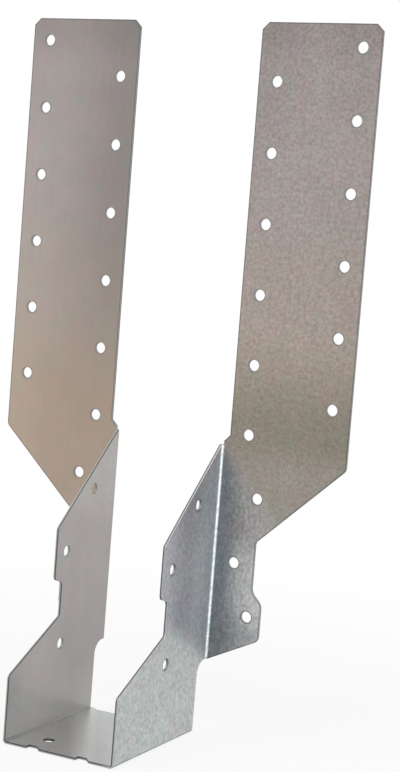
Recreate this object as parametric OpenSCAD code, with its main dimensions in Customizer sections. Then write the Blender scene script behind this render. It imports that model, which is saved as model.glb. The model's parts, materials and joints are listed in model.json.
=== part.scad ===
// Long-legged joist hanger, folded from one sheet of galvanised steel.
// The origin is the centre of the seat's bearing face. +X runs across the
// joist, +Y towards the header that the hanger is nailed to, +Z up.

/* [Joist pocket] */
// Clear width between the two side plates
joist_w = 47; // [38:1:80]
// Length of the seat, from its front edge to its back edge
seat_l = 64; // [56:1:80]
// Distance from the seat's back edge to the header's face
header_gap = 8; // [6:0.5:12]

/* [Sheet] */
// Thickness of the sheet
sheet_t = 1; // [0.7:0.1:1.5]
// Inside radius of every fold
fold_r = 0.5; // [0.4:0.1:1.6]
// Diameter of the nail holes
nail_d = 4.5; // [3:0.1:5]

/* [Side plates] */
// Height of the upright front edge above the seat
front_h = 25.5; // [18:0.5:30]
// Distance from the front edge back to the neck
neck_back = 34; // [28:0.5:38]
// Height at which the lower slope meets the neck
neck_low = 43.5; // [36:0.5:48]
// How far the plate steps forward above the neck
side_step = 5.5; // [3:0.5:7]
// Height of the middle of that step
step_h = 58; // [55:0.5:62]
// Height at which the upper slope starts
slope_low = 79.5; // [72:0.5:85]
// Height of the lower end of the fold at the header
fold_low = 28; // [22:0.5:34]
// Height of the upper end of the fold at the header
fold_high = 116; // [110:0.5:119]

/* [Flanges] */
// Width of the tab at the foot of a flange
tab_w = 22.5; // [22:0.5:30]
// Height of the tab's outer corner
tab_low = 39; // [35:0.5:42]
// Height of the middle of the step from the tab to the neck
tab_high = 56; // [54:0.5:60]
// Width of the flange at its neck
neck_w = 18; // [15:0.5:18.5]
// Height at which the flange starts to widen into the strap
widen_low = 78.5; // [74:0.5:84]
// Height at which the strap has its full width
widen_high = 112; // [106:0.5:118]

/* [Straps] */
// Height of the straps' top edge above the seat
strap_top = 284; // [282:1:340]
// Width of each strap
strap_w = 51; // [42:1:60]
// Distance from the side plate out to the strap's inner edge
strap_in = 3; // [2:0.1:6]
// Chamfer at the strap's top corners
corner_cut = 2.8; // [1:0.1:4]

/* [Strap nails] */
// Number of nail holes in each of a strap's two columns
nail_rows = 6; // [2:1:6]
// Distance between neighbouring holes in a column
nail_pitch = 28; // [20:0.5:28]
// Distance from the top edge down to the first outer hole
nail_top = 9; // [6:0.5:12]
// Distance from the strap's edges in to the columns
nail_edge = 8; // [6:0.5:12]

/* [Lower nails] */
// Distance of the tab's hole from the tab's outer edge
tab_nail_in = 6; // [5:0.5:8]
// Height of the tab's hole above the tab's corner
tab_nail_up = 9; // [8:0.5:12]
// Distance of the neck's hole from the neck's outer edge
neck_nail_in = 9; // [6:0.5:10]
// Distance of the neck's hole below the start of the widening
neck_nail_down = 9.5; // [4:0.5:12]
// Distance of the widening's hole from the side plate
widen_nail_out = 17; // [12:0.5:20]
// Height of the widening's hole above the start of the widening
widen_nail_up = 17.5; // [12:0.5:20]
// Distance of the lower side holes back from the neck
side_nail_back = 2; // [1:0.5:8]
// Height of the lowest side hole above the seat
side_nail_low = 32; // [24:0.5:34]
// Distance of the middle side hole below the upper slope's start
side_nail_mid = 10; // [7:0.5:12]
// Height of the top side hole above the upper slope's start
side_nail_high = 13.5; // [10:0.5:16]
// Distance of the top side hole in front of the header's face
side_nail_front = 18; // [12:0.5:20]

/* [Seat] */
// Depth of the nesting notches in the front edge
notch_d = 2.5; // [1:0.1:4]
// Width of a notch at its bottom
notch_w = 3.5; // [2:0.1:5]
// Distance from the centre line to the near side of a notch
notch_x = 8; // [6:0.5:9]
// Depth of the shallow recess in the back edge
back_recess = 1.5; // [0.5:0.1:2.5]
// Distance of the seat's hole from the front edge
seat_nail_y = 12.5; // [9:0.5:20]
// Distance of the seat's hole to the left of the centre line
seat_nail_x = 11.5; // [0:0.5:13]

/* [Hidden] */

steel = [0.66, 0.66, 0.65];
hole_fn = 48;
arc_step = 12;                  // degrees from point to point on an arc
climb_h = 1.5;                  // height that the side plate's step climbs
plate_round = 2.2;              // radius of its turns
neck_round = 4.5;               // radius of the turns between tab and neck
tab_round = 3;                  // radius of the tab's lower corner
strap_round = 3;                // radius where the strap's full width ends
edge_round = 2;                 // radius of the other turns
relief_flat = 0.8;              // straight edge between fold and relief
nick_h = 1.5;                   // upright nick beside the fold's upper end
recess_in = 1.5;                // distance from the folds to the back recess

front_y = -seat_l / 2;
back_y = seat_l / 2;
header_y = back_y + header_gap; // the header's face
web_in = joist_w / 2;           // inner face of a side plate
web_out = web_in + sheet_t;     // outer face of a side plate
seat_half = web_in - fold_r;    // half width of the seat's flat part
side_end = header_y - sheet_t - fold_r;          // where the header fold starts
relief_r = side_end - back_y - relief_flat;      // relief below that fold
neck_y = front_y + neck_back;
tab_step = tab_w - neck_w;      // step between tab and neck
step_round = min(neck_round, tab_step);          // a small step turns tighter
strap_out = strap_in + strap_w; // outer edge, from the side plate
outer_nail_z = strap_top - nail_top;
inner_nail_z = outer_nail_z - nail_pitch / 2;    // the columns are staggered

// Outline whose corners are given as [x, y, radius]. A turn is an arc.
function flat(p) = [p.x, p.y];
function unit(v) = v / norm(v);
function turn(a, b, c, r) =
    let (u = unit(a - b), v = unit(c - b), half = acos(u * v) / 2)
    let (centre = b + unit(u + v) * r / sin(half), way = sign(u.y * v.x - u.x * v.y))
    let (first = b + u * r / tan(half) - centre, start = atan2(first.y, first.x))
    let (sweep = way * (180 - 2 * half), n = ceil(abs(sweep) / arc_step))
    [for (i = [0 : n]) let (at = start + sweep * i / n) centre + r * [cos(at), sin(at)]];
function outline(corners) =
    let (n = len(corners))
    [for (i = [0 : n - 1])
        let (here = corners[i], before = corners[(i + n - 1) % n], after = corners[(i + 1) % n])
        each here.z > 0 ? turn(flat(before), flat(here), flat(after), here.z) : [flat(here)]];

// Flat part of the sheet, on the XY plane, with nail holes at the given places
module plate(corners, places) {
    difference() {
        linear_extrude(sheet_t) polygon(outline(corners));
        for (p = places)
            translate([p.x, p.y, -sheet_t]) cylinder(d = nail_d, h = 3 * sheet_t, $fn = hole_fn);
    }
}

// Quarter turn of the sheet round the Z axis, in the +X +Y quarter
module fold(length) {
    rotate_extrude(angle = 90, $fn = hole_fn)
        translate([fold_r, 0]) square([sheet_t, length]);
}

// Nesting notch in the front edge: one upright side, one sloping side
function notch(x) = [
    [x, front_y, 0],
    [x, front_y + notch_d, 0],
    [x + notch_w, front_y + notch_d, 0],
    [x + notch_w + notch_d, front_y, 0]];

// Seat that carries the end of the joist
module seat() {
    recess_x = seat_half - recess_in;
    recess_y = back_y - back_recess;
    corners = concat(
        [[-seat_half, front_y, 0]],
        notch(-notch_x - notch_w - notch_d),
        notch(notch_x),
        [[seat_half, front_y, 0], [seat_half, back_y, 0]],
        [[recess_x, back_y, 0], [recess_x - back_recess, recess_y, 0]],
        [[back_recess - recess_x, recess_y, 0], [-recess_x, back_y, 0]],
        [[-seat_half, back_y, 0]]);
    translate([0, 0, -sheet_t])
        plate(corners, [[-seat_nail_x, front_y + seat_nail_y]]);
}

// Side plate, drawn with Y as its first axis and Z as its second
module side_plate() {
    upper_y = neck_y - side_step;
    low_nails_y = neck_y + side_nail_back;
    places = [
        [low_nails_y, side_nail_low],
        [low_nails_y, slope_low - side_nail_mid],
        [header_y - side_nail_front, slope_low + side_nail_high]];
    corners = [
        [front_y, fold_r, 0],
        [front_y, front_h, edge_round],
        [neck_y, neck_low, edge_round],
        [neck_y, step_h - climb_h / 2, plate_round],
        [upper_y, step_h + climb_h / 2, plate_round],
        [upper_y, slope_low, edge_round],
        [side_end, fold_high, 0],
        [side_end, fold_low, 0],
        [back_y, fold_low, relief_r],
        [back_y, fold_r, 0]];
    translate([web_in, 0, 0]) rotate([90, 0, 90]) plate(corners, places);
}

// Flange and strap, drawn from the side plate outwards and with Z upwards
module flange() {
    outer_column = [for (i = [0 : nail_rows - 1])
        [strap_out - nail_edge, outer_nail_z - i * nail_pitch]];
    inner_column = [for (i = [0 : nail_rows - 1])
        [strap_in + nail_edge, inner_nail_z - i * nail_pitch]];
    lower_places = [
        [tab_w - tab_nail_in, tab_low + tab_nail_up],
        [neck_w - neck_nail_in, widen_low - neck_nail_down],
        [widen_nail_out, widen_low + widen_nail_up]];
    corners = [
        [fold_r, fold_low, 0],
        [tab_w, tab_low, tab_round],
        [tab_w, tab_high - tab_step / 2, step_round],
        [neck_w, tab_high + tab_step / 2, step_round],
        [neck_w, widen_low, edge_round],
        [strap_out, widen_high, strap_round],
        [strap_out, strap_top - corner_cut, 0],
        [strap_out - corner_cut, strap_top, 0],
        [strap_in + corner_cut, strap_top, 0],
        [strap_in, strap_top - corner_cut, 0],
        [strap_in, fold_high + nick_h + strap_in - fold_r, 0],
        [fold_r, fold_high + nick_h, 0]];
    translate([web_out, header_y, 0]) rotate([90, 0, 0])
        plate(corners, concat(outer_column, inner_column, lower_places));
}

// Everything to the right of the seat: two folds, side plate and flange
module side() {
    translate([seat_half, front_y, fold_r]) rotate([-90, 0, 0]) fold(seat_l);
    side_plate();
    translate([web_out + fold_r, side_end, fold_low]) rotate([0, 0, 90])
        fold(fold_high - fold_low);
    flange();
}

module joist_hanger() {
    color(steel) {
        seat();
        side();
        mirror([1, 0, 0]) side();
    }
}

joist_hanger();
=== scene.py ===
# Long-legged joist hanger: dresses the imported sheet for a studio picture.
import bpy
import bmesh
import json
import math
from mathutils import Matrix, Vector


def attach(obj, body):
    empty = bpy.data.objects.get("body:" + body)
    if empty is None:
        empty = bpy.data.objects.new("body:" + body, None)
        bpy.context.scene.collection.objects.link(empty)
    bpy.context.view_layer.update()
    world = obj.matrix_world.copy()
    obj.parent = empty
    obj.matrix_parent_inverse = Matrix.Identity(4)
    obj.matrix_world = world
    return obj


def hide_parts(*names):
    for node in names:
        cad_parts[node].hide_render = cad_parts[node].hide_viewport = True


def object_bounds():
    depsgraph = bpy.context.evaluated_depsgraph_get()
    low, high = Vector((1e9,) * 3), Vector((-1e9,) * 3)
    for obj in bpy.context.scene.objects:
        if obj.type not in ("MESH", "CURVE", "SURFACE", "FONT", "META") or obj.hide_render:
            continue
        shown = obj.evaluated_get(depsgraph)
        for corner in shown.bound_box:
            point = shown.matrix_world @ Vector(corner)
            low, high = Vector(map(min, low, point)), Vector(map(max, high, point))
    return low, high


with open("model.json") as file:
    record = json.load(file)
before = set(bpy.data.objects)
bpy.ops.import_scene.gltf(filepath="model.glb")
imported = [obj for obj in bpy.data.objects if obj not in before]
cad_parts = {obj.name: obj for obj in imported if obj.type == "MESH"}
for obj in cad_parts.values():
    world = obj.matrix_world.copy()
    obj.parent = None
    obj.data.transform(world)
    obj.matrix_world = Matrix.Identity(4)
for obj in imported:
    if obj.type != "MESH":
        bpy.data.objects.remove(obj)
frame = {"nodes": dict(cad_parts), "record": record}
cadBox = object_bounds()
mm = 0.001
sheetNode = frame["nodes"]["joist_hanger"]
mounts = {m["name"]: m for m in frame["record"]["mounts"]}


def linearColour(hexCode):
    # the sRGB curve, undone
    values = [int(hexCode[i:i + 2], 16) / 255 for i in (1, 3, 5)]
    return [v / 12.92 if v <= 0.04045 else ((v + 0.055) / 1.055) ** 2.4 for v in values] + [1.0]


def patternScale(sizeInMm):
    return 1 / (sizeInMm * mm)  # texture scale for a feature of that real size


def addNode(tree, kind, links=None, **settings):
    node = tree.nodes.new(kind)
    for name, value in settings.items():
        setattr(node, name, value)
    for name, value in (links or {}).items():
        if isinstance(value, bpy.types.NodeSocket):
            tree.links.new(value, node.inputs[name])
        else:
            node.inputs[name].default_value = value
    return node


def newMaterial(name):
    material = bpy.data.materials.new(name)
    material.use_nodes = True
    material.node_tree.nodes.clear()
    return material


# How the zinc's tone changes over the hanger, with painted shade, highlights and reflections in it. The
# measures are
# across, depth and height for X, Y and Z, and beside for the distance from the middle. Each part has the
# same tables:
#   slants     a measure: this one, plus that one less so many mm, times a slope
#   changes    a mask: 0 to 1, smoothly, while the measure goes from one value to the other, in mm
#   crossings  a mask made of two others
#   coats      a tone: where the mask is 0 the first one, where it is 1 the second one
#   patterns   size in mm, stretch along Z, turn in degrees, detail, roughness, distortion
zinc = {
    "tones": {
        "strapTop": "#A39B99",    # dull warm grey near the strap's top
        "strapLow": "#A99D94",    # a little browner lower down
        "leftFoot": "#AB9B8D",    # warmest where the left strap narrows
        "rightFoot": "#8F887D",   # darker where the right strap narrows
        "rightHem": "#9D978E",
        "foldShade": "#8E9297",   # painted shade and dark reflection on the flange beside the fold, bluish
        # the same painted shade beside the fold, along the hem
        "foldHem": "#909396",
        "flangeMiddle": "#B4B0AE",
        "flangeFoot": "#D3D3D0",  # pale and scuffed at the neck and the tab
        "flangeHem": "#C8C9CA",   # duller along the flange's lower edge
        "plateFrontHighlight": "#AEAFB4",   # painted highlight along the side plate's front edge
        "plateFront": "#96979D",  # cool grey outside the pocket, paler towards the fold: painted light where the plate mirrors the dark flange
        "plateFold": "#BDC0C4",
        "plateFoot": "#BCBFBF",
        "joistUpper": "#B2ADAC",  # warm grey inside the pocket
        "joistMiddle": "#B0AAA9",
        "joistInner": "#A9A3A2",
        "joistFront": "#BFBBB9",  # evens out the shade between the side plates
        "joistBack": "#A29E9D",
        "joistHem": "#D2D0D0",
        "joistBackHem": "#A9A6A5",
        "seatLeft": "#C9C9C8",
        "seatMiddle": "#DDDDDC",  # brightest in a slanted band
        "seatRight": "#BDBEBF",
        "seatCreaseShade": "#9C9A98",    # painted shade in the seat's folds
        "outerBend": "#8E9092",   # darker under the seat and round the outside of its folds
        "headerBendHighlight": "#EDF3F3",  # painted highlight in the folds at the header, on zinc stretched bright by the bend
        "rosyTint": "#FFFBFC",    # faint drift of the passivation
        "greenTint": "#FAFEFB",
    },
    "both": {
        "slants": {"outward": ("height", "beside", 24.5, 1)},
        "changes": {
            "right": ("across", -25, 25),         # from the left strap to the right one
            "flange": ("depth", 38.2, 38.9),      # behind this the sheet is flange and strap
            "strapWarms": ("height", 250, 130),
            "strapDarkens": ("height", 165, 124),
            "hemPales": ("height", 122, 104),
            "inwards": ("beside", 62, 29),        # towards a strap's inner edge
            "outwards": ("beside", 50, 77),       # and its outer edge
            "outerFades": ("height", 285, 225),
            "leftRises": ("height", 95, 215),     # where the inner edges get darker upwards
            "rightRises": ("height", 215, 262),
            "topShade": ("height", 262, 284),
            "cornerEdge": ("beside", 50, 64),
            "cornerRises": ("height", 238, 258),
            "footBegins": ("outward", 122, 104),  # slanted end of the foot: painted shade beside the fold, scuffed pale zinc further out
            "leftFootRises": ("height", 94, 46),
            "footPales": ("beside", 27, 38),
            "footRises": ("height", 86, 69),
            "hemBegins": ("height", 56, 40),
            "hemWidth": ("beside", 28, 48),
        },
        "crossings": {
            "outerEdge": ("MULTIPLY", "outwards", "outerFades"),
            "leftShade": ("MULTIPLY", "inwards", "leftRises"),
            "rightShade": ("MULTIPLY", "inwards", "rightRises"),
            "corner": ("MULTIPLY", "cornerEdge", "cornerRises"),
            "rightCorner": ("MULTIPLY", "corner", "right"),
            # the foot, with its painted fold shade, fills the right strap and only the low part of the left
            "rightOrLow": ("MAXIMUM", "right", "leftFootRises"),
            "foot": ("MULTIPLY", "footBegins", "rightOrLow"),
        },
        "coats": {
            "strapUpper": ("strapWarms", "strapTop", "strapLow"),
            "rightNarrow": ("hemPales", "rightFoot", "rightHem"),
            "narrow": ("right", "leftFoot", "rightNarrow"),
            "strap": ("strapDarkens", "strapUpper", "narrow"),
            "footOuter": ("footRises", "flangeMiddle", "flangeFoot"),
            "footUpper": ("footPales", "foldShade", "footOuter"),
            "footHem": ("hemWidth", "foldHem", "flangeHem"),
            "foot": ("hemBegins", "footUpper", "footHem"),
        },
        "patterns": {
            "grain": (1.4, 1, 0, 3.0, 0.6, 0),      # crystals of the coating, coarse enough to show
            "cloud": (11.0, 1, 0, 2.0, 0.5, 0),     # slow drift of the tone
            "streak": (2.2, 0.04, 0, 2.0, 0.5, 0),  # faint streaks of the rolls
            "tint": (8.0, 1, 0, 2.0, 0.5, 0),       # slow drift of the colour
        },
    },
    "outer": {
        "slants": {"plateRise": ("height", "depth", 18, 0.4)},
        "changes": {
            "plateTurns": ("plateRise", 47, 35),  # down to the side plate's grainy foot
            "plateFrontBand": ("depth", -1, 19),       # back from its front edge
            "plateWidth": ("depth", 8, 38),
            "outerBend": ("height", 0.3, -0.3),
            "bendBack": ("depth", 37.7, 38.3),    # the header fold's two sides
            "bendSide": ("beside", 25.4, 25.05),
        },
        "crossings": {
            "headerBendHighlight": ("MULTIPLY", "bendBack", "bendSide"),
            "footOnFlange": ("MULTIPLY", "foot", "flange"),
        },
        "coats": {
            "flange": ("foot", "strap", "foot"),
            "plateEdge": ("plateFrontBand", "plateFrontHighlight", "plateFront"),
            "plateUpper": ("plateWidth", "plateEdge", "plateFold"),
            "plateFlat": ("plateTurns", "plateUpper", "plateFoot"),
            "plate": ("outerBend", "plateFlat", "outerBend"),
            "plateAndFlange": ("flange", "plate", "flange"),
            "sheet": ("headerBendHighlight", "plateAndFlange", "headerBendHighlight"),
        },
        "patterns": {"scuff": (1.5, 0.4, 40, 2.0, 0.5, 1.2)},  # scratches at the flange's foot
    },
    "joist": {
        "slants": {"seatSlant": ("across", "depth", 0, 0.6)},
        "changes": {
            "hemRises": ("height", 4, 24),     # up from the seat
            "plateRises": ("height", 28, 62),
            "upperRises": ("height", 76, 92),
            "joistWidth": ("depth", -32, 16),  # back from the front edge
            "joistTurns": ("depth", 0, 14),
            "seatBrightens": ("seatSlant", -16, -9),
            "seatDarkens": ("seatSlant", -7, 0),
            "seat": ("height", 1, 0),
            "bendRise": ("height", 0.8, 0.5),  # the seat fold's two sides
            "bendSide": ("beside", 22.8, 23),
        },
        "crossings": {"seatCreaseShade": ("MULTIPLY", "bendRise", "bendSide")},
        "coats": {
            "flange": ("foot", "strap", "foot"),
            "plateFront": ("hemRises", "joistHem", "joistFront"),
            "plateBack": ("hemRises", "joistBackHem", "joistBack"),
            "plateLow": ("joistWidth", "plateFront", "plateBack"),
            "plateCentre": ("joistTurns", "joistMiddle", "joistInner"),
            "plateHigh": ("plateRises", "plateLow", "plateCentre"),
            "plate": ("upperRises", "plateHigh", "joistUpper"),
            "plateAndFlange": ("flange", "plate", "flange"),
            "seatBright": ("seatBrightens", "seatLeft", "seatMiddle"),
            "seat": ("seatDarkens", "seatBright", "seatRight"),
            "allFlat": ("seat", "plateAndFlange", "seat"),
            "sheet": ("seatCreaseShade", "allFlat", "seatCreaseShade"),
        },
        "patterns": {},
    },
    # the straps' painted shade and light, as a bowed sheet shows: darker inner edges and top, a paler left
    # outer edge, and a darker right top corner; laid like coats: a level is a number or an earlier one
    "levels": {
        "leftInner": ("leftShade", 1.0, 0.77),
        "left": ("outerEdge", "leftInner", 1.13),
        "rightInner": ("rightShade", 1.0, 0.88),
        "right": ("outerEdge", "rightInner", 0.96),
        "edges": ("right", "left", "right"),
        "top": ("topShade", 1.0, 0.86),
        "corner": ("rightCorner", 1.0, 0.9),
    },
    "tintRange": (0.4, 0.6),   # of the pattern, from rosy to green
    "clouding": 0.12,          # how much each pattern lightens and darkens the tone
    "streaking": 0.08,
    "scuffing": 0.8,
    "plateScuffing": 0.5,      # share of it that the side plate's foot has
    "leftGrain": 0.15,
    "rightGrain": 0.95,
    "joistGrain": 0.45,
    "flangeEdgeShade": 0.3,         # tone left beside the sheet's edges and hole mouths: painted shade on the flange and joist side, painted highlight on the side plates
    "plateEdge": 1.12,
    "joistEdgeShade": 0.95,
    "grainRange": (0.3, 0.7),  # of the grain, over which the gloss changes
    "roughness": (0.3, 0.46),
    "seatRoughness": 0.38,
    "plateRoughness": 0.6,
    "grainBump": 0.25,
    "grainDepth": 0.02,        # mm
}


def placeMasks(tree, place, side):
    # measures on the hanger and the masks that rise along them
    axes = addNode(tree, "ShaderNodeSeparateXYZ", {0: place}).outputs
    beside = addNode(tree, "ShaderNodeMath", {0: axes["X"]}, operation="ABSOLUTE").outputs[0]
    at = {"across": axes["X"], "depth": axes["Y"], "height": axes["Z"], "beside": beside}
    for part in (zinc["both"], zinc[side]):
        for name, (first, second, less, slope) in part["slants"].items():
            past = addNode(tree, "ShaderNodeMath", {0: at[second], 1: less * mm}, operation="SUBTRACT")
            rise = addNode(tree, "ShaderNodeMath", {0: past.outputs[0], 1: slope}, operation="MULTIPLY")
            at[name] = addNode(tree, "ShaderNodeMath", {0: at[first], 1: rise.outputs[0]},
                               operation="ADD").outputs[0]
        for name, (measure, begins, ends) in part["changes"].items():
            at[name] = addNode(tree, "ShaderNodeMapRange", {"Value": at[measure], "From Min": begins * mm,
                                                            "From Max": ends * mm},
                               interpolation_type="SMOOTHSTEP").outputs[0]
        for name, (operation, first, second) in part["crossings"].items():
            at[name] = addNode(tree, "ShaderNodeMath", {0: at[first], 1: at[second]},
                               operation=operation).outputs[0]
    return at


def layCoats(tree, tones, at, coats):
    for name, (mask, first, second) in coats.items():
        tones[name] = addNode(tree, "ShaderNodeMix", {0: at[mask], 6: tones[first], 7: tones[second]},
                              data_type="RGBA").outputs[2]


def scaled(tree, tone, level):
    # the tone times a grey level
    grey = addNode(tree, "ShaderNodeCombineColor", {0: level, 1: level, 2: level}).outputs[0]
    return addNode(tree, "ShaderNodeMix", {0: 1.0, 6: tone, 7: grey}, data_type="RGBA",
                   blend_type="MULTIPLY").outputs[2]


def varied(tree, tone, pattern, strength):
    # lighter and darker with the pattern
    swing = addNode(tree, "ShaderNodeMath", {0: pattern, 1: 0.5}, operation="SUBTRACT").outputs[0]
    swing = addNode(tree, "ShaderNodeMath", {0: swing, 1: strength}, operation="MULTIPLY").outputs[0]
    return scaled(tree, tone, addNode(tree, "ShaderNodeMath", {0: swing, 1: 1.0}).outputs[0])


def sheetTone(tree, at, side):
    tones = {name: linearColour(value) for name, value in zinc["tones"].items()}
    layCoats(tree, tones, at, zinc["both"]["coats"])
    levels = {}
    for name, (mask, first, second) in zinc["levels"].items():
        levels[name] = addNode(tree, "ShaderNodeMix", {0: at[mask], 2: levels.get(first, first),
                                                       3: levels.get(second, second)},
                               data_type="FLOAT").outputs[0]
    for name in ("edges", "top", "corner"):
        tones["strap"] = scaled(tree, tones["strap"], levels[name])
    layCoats(tree, tones, at, zinc[side]["coats"])
    return tones["sheet"]


def zincPatterns(tree, place, side):
    marks = {}
    for name, look in {**zinc["both"]["patterns"], **zinc[side]["patterns"]}.items():
        size, stretch, turn, detail, roughness, distortion = look
        where = addNode(tree, "ShaderNodeMapping", {"Vector": place, "Scale": (1, 1, stretch),
                                                    "Rotation": (0, math.radians(turn), 0)}).outputs[0]
        marks[name] = addNode(tree, "ShaderNodeTexNoise", {
            "Vector": where, "Scale": patternScale(size), "Detail": detail, "Roughness": roughness,
            "Distortion": distortion}).outputs["Fac"]
    return marks


def galvanisedSheet(name, side):
    # Continuous hot-dip galvanised steel, skin-passed between rolls: soft half-gloss grey with fine
    # crystals, slow clouds, faint roller streaks and a scuffed, scratched foot; painted shade, highlights
    # and reflections are laid into its tone
    material = newMaterial(name)
    tree = material.node_tree
    place = addNode(tree, "ShaderNodeTexCoord").outputs["Object"]
    at = placeMasks(tree, place, side)
    marks = zincPatterns(tree, place, side)
    drift = addNode(tree, "ShaderNodeMapRange", {"Value": marks["tint"], "From Min": zinc["tintRange"][0],
                                                 "From Max": zinc["tintRange"][1]},
                    interpolation_type="SMOOTHSTEP").outputs[0]
    tint = addNode(tree, "ShaderNodeMix", {0: drift, 6: linearColour(zinc["tones"]["rosyTint"]),
                                           7: linearColour(zinc["tones"]["greenTint"])},
                   data_type="RGBA").outputs[2]
    tone = addNode(tree, "ShaderNodeMix", {0: 1.0, 6: sheetTone(tree, at, side), 7: tint}, data_type="RGBA",
                   blend_type="MULTIPLY").outputs[2]
    tone = varied(tree, tone, marks["cloud"], zinc["clouding"])
    tone = varied(tree, tone, marks["streak"], zinc["streaking"])
    gloss = addNode(tree, "ShaderNodeMapRange", {"Value": marks["grain"], "From Min": zinc["grainRange"][0],
                                                 "From Max": zinc["grainRange"][1],
                                                 "To Min": zinc["roughness"][0],
                                                 "To Max": zinc["roughness"][1]}).outputs[0]
    if side == "joist":
        grainStrength = zinc["joistGrain"]
        edgeLevel = zinc["joistEdgeShade"]
        rough = addNode(tree, "ShaderNodeMix", {0: at["seat"], 2: gloss, 3: zinc["seatRoughness"]},
                        data_type="FLOAT").outputs[0]
    else:
        wornPlate = addNode(tree, "ShaderNodeMath", {0: at["plateTurns"], 1: zinc["plateScuffing"]},
                            operation="MULTIPLY").outputs[0]
        worn = addNode(tree, "ShaderNodeMath", {0: at["footOnFlange"], 1: wornPlate},
                       operation="MAXIMUM").outputs[0]
        scuffed = addNode(tree, "ShaderNodeMath", {0: worn, 1: zinc["scuffing"]},
                          operation="MULTIPLY").outputs[0]
        tone = varied(tree, tone, marks["scuff"], scuffed)
        grainStrength = addNode(tree, "ShaderNodeMix", {0: at["right"], 2: zinc["leftGrain"],
                                                        3: zinc["rightGrain"]}, data_type="FLOAT").outputs[0]
        edgeLevel = addNode(tree, "ShaderNodeMix", {0: at["flange"], 2: zinc["plateEdge"],
                                                    3: zinc["flangeEdgeShade"]}, data_type="FLOAT").outputs[0]
        rough = addNode(tree, "ShaderNodeMix", {0: at["flange"], 2: zinc["plateRoughness"], 3: gloss},
                        data_type="FLOAT").outputs[0]
    tone = varied(tree, tone, marks["grain"], grainStrength)
    # a band beside the sheared edges, toned as painted highlight or painted shade
    edge = addNode(tree, "ShaderNodeAttribute", attribute_name="rolledEdge").outputs["Fac"]
    level = addNode(tree, "ShaderNodeMix", {0: edge, 2: 1.0, 3: edgeLevel}, data_type="FLOAT").outputs[0]
    tone = scaled(tree, tone, level)
    bump = addNode(tree, "ShaderNodeBump", {"Height": marks["grain"], "Strength": zinc["grainBump"],
                                            "Distance": zinc["grainDepth"] * mm}).outputs[0]
    shader = addNode(tree, "ShaderNodeBsdfPrincipled", {"Base Color": tone, "Metallic": 1.0,
                                                        "Roughness": rough, "Normal": bump})
    addNode(tree, "ShaderNodeOutputMaterial", {"Surface": shader.outputs[0]})
    return material


cutEdge = {
    "torn": ("#3C3D3F", "#646669"),
    "burnished": "#A9ABAC",
    "tear": 0.4,              # mm, size of the tears, coarse enough to show
    "tornFrom": (0.35, 0.6),  # share of the thickness over which bright turns to torn
    "roughness": 0.5,
    "tearBump": 0.5,
    "tearDepth": 0.05,        # mm
}


def shearedSteel():
    # Cut edge of the sheet: burnished bright over the half where the punch went in,
    # torn and dark over the other, so every edge shows a pale and a dark line
    material = newMaterial("shearedSteelEdge")
    tree = material.node_tree
    place = addNode(tree, "ShaderNodeTexCoord").outputs["Object"]
    tear = addNode(tree, "ShaderNodeTexNoise", {"Vector": place, "Scale": patternScale(cutEdge["tear"])})
    torn = tear.outputs["Fac"]
    darkest, dark = (linearColour(value) for value in cutEdge["torn"])
    tornTone = addNode(tree, "ShaderNodeMix", {0: torn, 6: darkest, 7: dark}, data_type="RGBA").outputs[2]
    depth = addNode(tree, "ShaderNodeAttribute", attribute_name="tornHalf").outputs["Fac"]
    share = addNode(tree, "ShaderNodeMapRange", {"Value": depth, "From Min": cutEdge["tornFrom"][0],
                                                 "From Max": cutEdge["tornFrom"][1]},
                    interpolation_type="SMOOTHSTEP").outputs[0]
    tone = addNode(tree, "ShaderNodeMix", {0: share, 6: linearColour(cutEdge["burnished"]), 7: tornTone},
                   data_type="RGBA").outputs[2]
    bump = addNode(tree, "ShaderNodeBump", {"Height": torn, "Strength": cutEdge["tearBump"],
                                            "Distance": cutEdge["tearDepth"] * mm}).outputs[0]
    shader = addNode(tree, "ShaderNodeBsdfPrincipled", {"Base Color": tone, "Metallic": 1.0,
                                                        "Roughness": cutEdge["roughness"], "Normal": bump})
    addNode(tree, "ShaderNodeOutputMaterial", {"Surface": shader.outputs[0]})
    return material


shadedRim = {
    # darker than the sheet: painted shade round each hole
    "tones": ("#7E7B77", "#9A9692"),
    "mottle": 1.2,            # mm
    "roughness": 0.38,
}


def punchedRim():
    # Zinc pushed up round a punched hole, smoother than the sheet, and darker as painted shade round the
    # hole
    material = newMaterial("punchedZincRim")
    tree = material.node_tree
    place = addNode(tree, "ShaderNodeTexCoord").outputs["Object"]
    scale = patternScale(shadedRim["mottle"])
    mottle = addNode(tree, "ShaderNodeTexNoise", {"Vector": place, "Scale": scale}).outputs["Fac"]
    dark, pale = (linearColour(value) for value in shadedRim["tones"])
    tone = addNode(tree, "ShaderNodeMix", {0: mottle, 6: dark, 7: pale}, data_type="RGBA")
    shader = addNode(tree, "ShaderNodeBsdfPrincipled", {"Base Color": tone.outputs[2], "Metallic": 1.0,
                                                        "Roughness": shadedRim["roughness"]})
    addNode(tree, "ShaderNodeOutputMaterial", {"Surface": shader.outputs[0]})
    return material


# two sides of one zinc sheet, toned apart partly as painted reflection of what each side faces
outerZinc = galvanisedSheet("galvanisedOuterSide", "outer")
joistZinc = galvanisedSheet("galvanisedJoistSide", "joist")
edgeSteel = shearedSteel()
rimZinc = punchedRim()
print("materials made")

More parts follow.
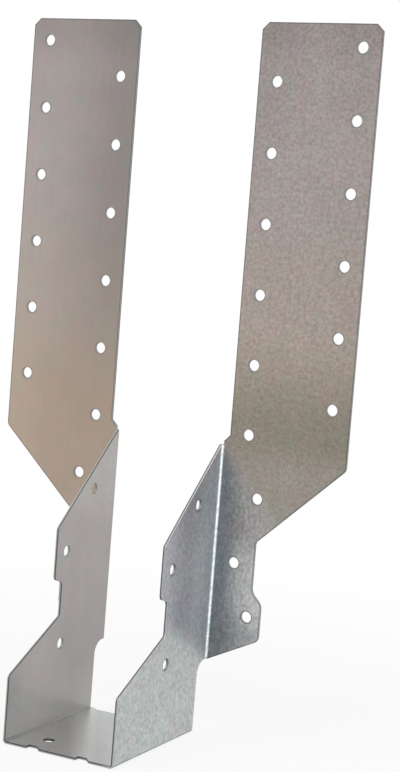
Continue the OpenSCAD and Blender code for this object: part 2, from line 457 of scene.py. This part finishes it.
sheet = {
    "weld": 0.001,       # mm, closer points are one
    "flatAngle": 0.2,    # degrees, triangles that meet at less are one face
    "skinAngle": 50,     # degrees: faces that meet at less belong to one side of the sheet
    "facing": 0.99,      # how nearly a face has to look the way that is asked for
    "lying": 0.5,        # upward part of its direction from which a face is level
    "trueFlat": 0.999,   # nearer an axis than this, a face keeps flat shading
    "edgeRadius": 0.15,  # mm, rounding of the sheared edges
    "edgeSteps": 2,
    "edgeBand": 0.6,     # mm, rolled over beside each sheared edge
    "holeRoll": 0.5,     # how much of that shows round a hole
    "holeTornAndShade": 0.46,    # how far the wall of a nail hole is torn and darkened, partly as painted shade inside it
    # the seat hole's wall all dark: painted shade inside it
    "seatHoleShade": 1.0,
    "longestHole": 20,   # mm, round the largest hole: longer outlines aren't holes
}
skinSlots = {"outer": 0, "joist": 1, "edge": 2}  # places of the sheet's three materials


def joinedCopy(node):
    bm = bmesh.new()
    bm.from_mesh(node.data)
    bmesh.ops.remove_doubles(bm, verts=bm.verts, dist=sheet["weld"] * mm)
    bmesh.ops.dissolve_limit(bm, angle_limit=math.radians(sheet["flatAngle"]), verts=bm.verts,
                             edges=bm.edges)
    bm.faces.index_update()
    return bm


def oneSide(start, limit):
    # every face reached from start without crossing a sharp edge
    found = {start}
    waiting = [start]
    while waiting:
        face = waiting.pop()
        for edge in face.edges:
            for other in edge.link_faces:
                if other not in found and face.normal.angle(other.normal) < limit:
                    found.add(other)
                    waiting.append(other)
    return found


def facing(bm, direction):
    # the largest face that looks that way
    faces = [f for f in bm.faces if f.normal.dot(direction) > sheet["facing"]]
    return max(faces, key=lambda f: f.calc_area())


def twoSides(bm):
    # the face towards joist and header, and the outer face, each one unbroken skin
    headerWay = Vector(mounts["header_face_right"]["axis"])
    limit = math.radians(sheet["skinAngle"])
    return oneSide(facing(bm, headerWay), limit), oneSide(facing(bm, -headerWay), limit)


def inOrder(skin):
    return sorted(skin, key=lambda face: face.index)  # the same order in every run


def outlines(skin):
    # the closed rows of edges where a skin ends, each with the direction the skin faces there
    normalOf = {}
    for face in inOrder(skin):
        for edge in face.edges:
            if any(other not in skin for other in edge.link_faces):
                normalOf[edge] = face.normal.copy()
    rows = []
    while normalOf:
        row = [next(iter(normalOf))]
        normal = normalOf.pop(row[0])
        for edge in row:
            for nearby in (e for vert in edge.verts for e in vert.link_edges if e in normalOf):
                normalOf.pop(nearby)
                row.append(nearby)
        rows.append((row, normal))
    return rows


def isHole(row):
    return sum(edge.calc_length() for edge in row) < sheet["longestHole"] * mm


def rollEdges(bm, skin, layer):
    # a narrow band along the skin's outlines, marked at the sheared edge and 0 inside
    band = bmesh.ops.inset_region(bm, faces=inOrder(skin), thickness=sheet["edgeBand"] * mm,
                                  use_boundary=True, use_even_offset=True)["faces"]
    skin.update(band)
    bm.faces.index_update()
    for row, _ in outlines(skin):
        level = sheet["holeRoll"] if isHole(row) else 1.0
        for vert in (v for edge in row for v in edge.verts):
            vert[layer] = level


def shapeSheet():
    bm = joinedCopy(sheetNode)
    joistSide, outerSide = twoSides(bm)
    torn = bm.verts.layers.float.new("tornHalf")
    rolled = bm.verts.layers.float.new("rolledEdge")
    for face in joistSide:
        for vert in face.verts:
            vert[torn] = 1.0
    # hole walls toned darker: partly torn steel, partly painted shade inside the holes
    for row, normal in outlines(joistSide) + outlines(outerSide):
        if isHole(row):
            level = sheet["seatHoleShade"] if abs(normal.z) > sheet["lying"] else sheet["holeTornAndShade"]
            for vert in (v for edge in row for v in edge.verts):
                vert[torn] = level
    rollEdges(bm, outerSide, rolled)
    rollEdges(bm, joistSide, rolled)
    for face in bm.faces:
        face.smooth = max(abs(c) for c in face.normal) < sheet["trueFlat"]
        skin = "joist" if face in joistSide else "outer" if face in outerSide else "edge"
        face.material_index = skinSlots[skin]
    mesh = bpy.data.meshes.new("hangerSheet")
    bm.to_mesh(mesh)
    bm.free()
    piece = bpy.data.objects.new("hangerSheet", mesh)
    bpy.context.scene.collection.objects.link(piece)
    for material in (outerZinc, joistZinc, edgeSteel):
        mesh.materials.append(material)
    bevel = piece.modifiers.new("edges", "BEVEL")
    bevel.width = sheet["edgeRadius"] * mm
    bevel.segments = sheet["edgeSteps"]
    bevel.limit_method = "ANGLE"
    bevel.angle_limit = math.radians(sheet["skinAngle"])
    bevel.material = skinSlots["edge"]
    return piece


def asPlainMesh(piece):
    seen = bpy.context.evaluated_depsgraph_get()
    mesh = bpy.data.meshes.new_from_object(piece.evaluated_get(seen), preserve_all_data_layers=True,
                                           depsgraph=seen)
    piece.modifiers.clear()
    piece.data = mesh
    return piece


hangerSheet = asPlainMesh(shapeSheet())
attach(hangerSheet, "root")
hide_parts("joist_hanger")
print("sheet made:", len(hangerSheet.data.polygons), "faces")

rims = {
    "width": 0.4,       # mm, zinc and steel pushed up round each hole
    "height": 0.08,     # mm, above the sheet
    "spread": 0.25,     # how much the rims differ in height
    "seed": 7,
    "ringSteps": 36,    # corners round a rim
    "sectionSteps": 8,  # and round its section
}


def holePlaces():
    # centre, outward direction and radius of every hole's mouth, but not under the seat
    bm = joinedCopy(sheetNode)
    _, outerSide = twoSides(bm)
    places = []
    for row, normal in outlines(outerSide):
        if isHole(row) and normal.z > -sheet["lying"]:
            centre = sum((v.co for edge in row for v in edge.verts), Vector()) / (2 * len(row))
            places.append((centre, normal, (row[0].verts[0].co - centre).length))
    bm.free()
    return places


def rimTree(material):
    # a flattened ring on every point, standing on the sheet and each a little different
    tree = bpy.data.node_groups.new("punchedRims", "GeometryNodeTree")
    sockets = tree.interface
    sockets.new_socket("Geometry", in_out="INPUT", socket_type="NodeSocketGeometry")
    for name, kind in (("Hole Radius", "NodeSocketFloat"), ("Rim Width", "NodeSocketFloat"),
                       ("Rim Height", "NodeSocketFloat"), ("Spread", "NodeSocketFloat"),
                       ("Seed", "NodeSocketInt")):
        sockets.new_socket(name, in_out="INPUT", socket_type=kind)
    sockets.new_socket("Geometry", in_out="OUTPUT", socket_type="NodeSocketGeometry")
    given = addNode(tree, "NodeGroupInput").outputs
    halfWidth = addNode(tree, "ShaderNodeMath", {0: given["Rim Width"], 1: 0.5},
                        operation="MULTIPLY").outputs[0]
    ringRadius = addNode(tree, "ShaderNodeMath", {0: given["Hole Radius"], 1: halfWidth}).outputs[0]
    ring = addNode(tree, "GeometryNodeCurvePrimitiveCircle", {"Resolution": rims["ringSteps"],
                                                              "Radius": ringRadius}).outputs[0]
    section = addNode(tree, "GeometryNodeCurvePrimitiveCircle", {"Resolution": rims["sectionSteps"],
                                                                 "Radius": halfWidth}).outputs[0]
    ringMesh = addNode(tree, "GeometryNodeCurveToMesh", {"Curve": ring, "Profile Curve": section}).outputs[0]
    flatness = addNode(tree, "ShaderNodeMath", {0: given["Rim Height"], 1: halfWidth},
                       operation="DIVIDE").outputs[0]
    flatScale = addNode(tree, "ShaderNodeCombineXYZ", {"X": 1.0, "Y": 1.0, "Z": flatness}).outputs[0]
    rim = addNode(tree, "GeometryNodeTransform", {"Geometry": ringMesh, "Scale": flatScale}).outputs[0]
    way = addNode(tree, "GeometryNodeInputNamedAttribute", {"Name": "outward"},
                  data_type="FLOAT_VECTOR").outputs["Attribute"]
    aim = addNode(tree, "FunctionNodeAlignRotationToVector", {"Vector": way}, axis="Z").outputs[0]
    low = addNode(tree, "ShaderNodeMath", {0: 1.0, 1: given["Spread"]}, operation="SUBTRACT").outputs[0]
    tall = addNode(tree, "FunctionNodeRandomValue", {2: low, 3: 1.0, "Seed": given["Seed"]},
                   data_type="FLOAT").outputs[1]
    size = addNode(tree, "ShaderNodeCombineXYZ", {"X": 1.0, "Y": 1.0, "Z": tall}).outputs[0]
    placed = addNode(tree, "GeometryNodeInstanceOnPoints", {"Points": given["Geometry"], "Instance": rim,
                                                            "Rotation": aim, "Scale": size}).outputs[0]
    real = addNode(tree, "GeometryNodeRealizeInstances", {"Geometry": placed}).outputs[0]
    smooth = addNode(tree, "GeometryNodeSetShadeSmooth", {"Geometry": real}).outputs[0]
    done = addNode(tree, "GeometryNodeSetMaterial", {"Geometry": smooth, "Material": material}).outputs[0]
    addNode(tree, "NodeGroupOutput", {"Geometry": done})
    return tree


def makeRims():
    places = holePlaces()
    mesh = bpy.data.meshes.new("punchedRims")
    mesh.from_pydata([centre for centre, _, _ in places], [], [])
    outward = mesh.attributes.new("outward", "FLOAT_VECTOR", "POINT")
    for i, (_, normal, _) in enumerate(places):
        outward.data[i].vector = normal
    piece = bpy.data.objects.new("punchedRims", mesh)
    bpy.context.scene.collection.objects.link(piece)
    tree = rimTree(rimZinc)
    modifier = piece.modifiers.new("rims", "NODES")
    modifier.node_group = tree
    values = {"Hole Radius": places[0][2], "Rim Width": rims["width"] * mm,
              "Rim Height": rims["height"] * mm, "Spread": rims["spread"], "Seed": rims["seed"]}
    for item in tree.interface.items_tree:
        if item.in_out == "INPUT" and item.name in values:
            modifier[item.identifier] = values[item.name]
    print("holes found:", len(places))
    return asPlainMesh(piece)


punchedRims = makeRims()
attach(punchedRims, "root")
print("rims made:", len(punchedRims.data.polygons), "faces")

stage = {
    "floorHalf": 6.0,           # m
    "floorGap": 0.05,           # mm, below the object
    "floorColour": "#F4F4F2",
    "floorGlow": 0.85,          # share of plain white that shows on the floor by the object
    "glowRange": (0.08, 0.45),  # m, where the floor fades into the white background
    "roomGrey": 0.55,           # soft light from all round
}


def seesBackground(tree):
    # 1 for rays that look straight, by mirror or through glass at the background
    path = addNode(tree, "ShaderNodeLightPath").outputs
    sure = addNode(tree, "ShaderNodeMath", {0: path["Is Camera Ray"], 1: path["Is Glossy Ray"]},
                   operation="MAXIMUM").outputs[0]
    return addNode(tree, "ShaderNodeMath", {0: sure, 1: path["Is Transmission Ray"]},
                   operation="MAXIMUM").outputs[0]


def makeFloor():
    # Matt painted studio floor: pale under the object, plain white further off
    low = cadBox[0].z - stage["floorGap"] * mm
    half = stage["floorHalf"]
    mesh = bpy.data.meshes.new("studioFloor")
    corners = [(-half, -half, low), (half, -half, low), (half, half, low), (-half, half, low)]
    mesh.from_pydata(corners, [], [(0, 1, 2, 3)])
    floor = bpy.data.objects.new("studioFloor", mesh)
    bpy.context.scene.collection.objects.link(floor)
    material = newMaterial("paleStudioFloor")
    tree = material.node_tree
    matt = addNode(tree, "ShaderNodeBsdfDiffuse", {"Color": linearColour(stage["floorColour"])}).outputs[0]
    white = addNode(tree, "ShaderNodeEmission", {"Strength": 1.0}).outputs[0]
    place = addNode(tree, "ShaderNodeTexCoord").outputs["Object"]
    away = addNode(tree, "ShaderNodeVectorMath", {0: place}, operation="LENGTH").outputs["Value"]
    glow = addNode(tree, "ShaderNodeMapRange", {"Value": away, "From Min": stage["glowRange"][0],
                                                "From Max": stage["glowRange"][1],
                                                "To Min": stage["floorGlow"], "To Max": 1.0},
                   interpolation_type="SMOOTHSTEP").outputs[0]
    share = addNode(tree, "ShaderNodeMath", {0: seesBackground(tree), 1: glow},
                    operation="MULTIPLY").outputs[0]
    look = addNode(tree, "ShaderNodeMixShader", {0: share, 1: matt, 2: white}).outputs[0]
    addNode(tree, "ShaderNodeOutputMaterial", {"Surface": look})
    mesh.materials.append(material)


def makeWorld():
    world = bpy.data.worlds.new("studioWorld")
    world.use_nodes = True
    tree = world.node_tree
    tree.nodes.clear()
    grey = stage["roomGrey"]
    light = addNode(tree, "ShaderNodeBackground", {"Color": (grey, grey, grey, 1)}).outputs[0]
    white = addNode(tree, "ShaderNodeBackground", {"Color": (1, 1, 1, 1)}).outputs[0]
    look = addNode(tree, "ShaderNodeMixShader", {0: seesBackground(tree), 1: light, 2: white}).outputs[0]
    addNode(tree, "ShaderNodeOutputWorld", {"Surface": look})
    bpy.context.scene.world = world


lamps = {  # places and sizes in m
    "keySoftbox": {"place": (-0.6, -1.0, 1.6), "size": 1.4, "watts": 12, "colour": "#FFFBF7"},
    "sideSoftbox": {"place": (1.4, -0.45, 0.3), "size": 0.9, "watts": 10, "colour": "#F4F9FF"},
}


def makeLamp(name, look):
    light = bpy.data.lights.new(name, "AREA")
    light.size = look["size"]
    light.energy = look["watts"]
    light.color = linearColour(look["colour"])[:3]
    lamp = bpy.data.objects.new(name, light)
    middle = (cadBox[0] + cadBox[1]) / 2
    lamp.location = look["place"]
    lamp.rotation_euler = (middle - lamp.location).to_track_quat("-Z", "Y").to_euler()
    bpy.context.scene.collection.objects.link(lamp)


makeFloor()
makeWorld()
for lampName, lampLook in lamps.items():
    makeLamp(lampName, lampLook)
print("studio made")

view = {
    "place": (330.7, -588.7, 199.9),  # mm
    "aim": (23.9, 16.0, 140.5),
    "roll": 4.49,                     # degrees, verticals lean to the right
    "lens": 81.54,                    # mm
    "sensor": 36,                     # mm, its width
}


def makeCamera():
    camera = bpy.data.objects.new("camera", bpy.data.cameras.new("camera"))
    camera.data.lens = view["lens"]
    camera.data.sensor_width = view["sensor"]
    camera.location = Vector(view["place"]) * mm
    ahead = Vector(view["aim"]) * mm - camera.location
    roll = Matrix.Rotation(math.radians(view["roll"]), 3, "Z")
    camera.rotation_euler = (ahead.to_track_quat("-Z", "Y").to_matrix() @ roll).to_euler()
    bpy.context.scene.collection.objects.link(camera)
    bpy.context.scene.camera = camera


makeCamera()
bpy.context.scene.view_settings.view_transform = "Standard"
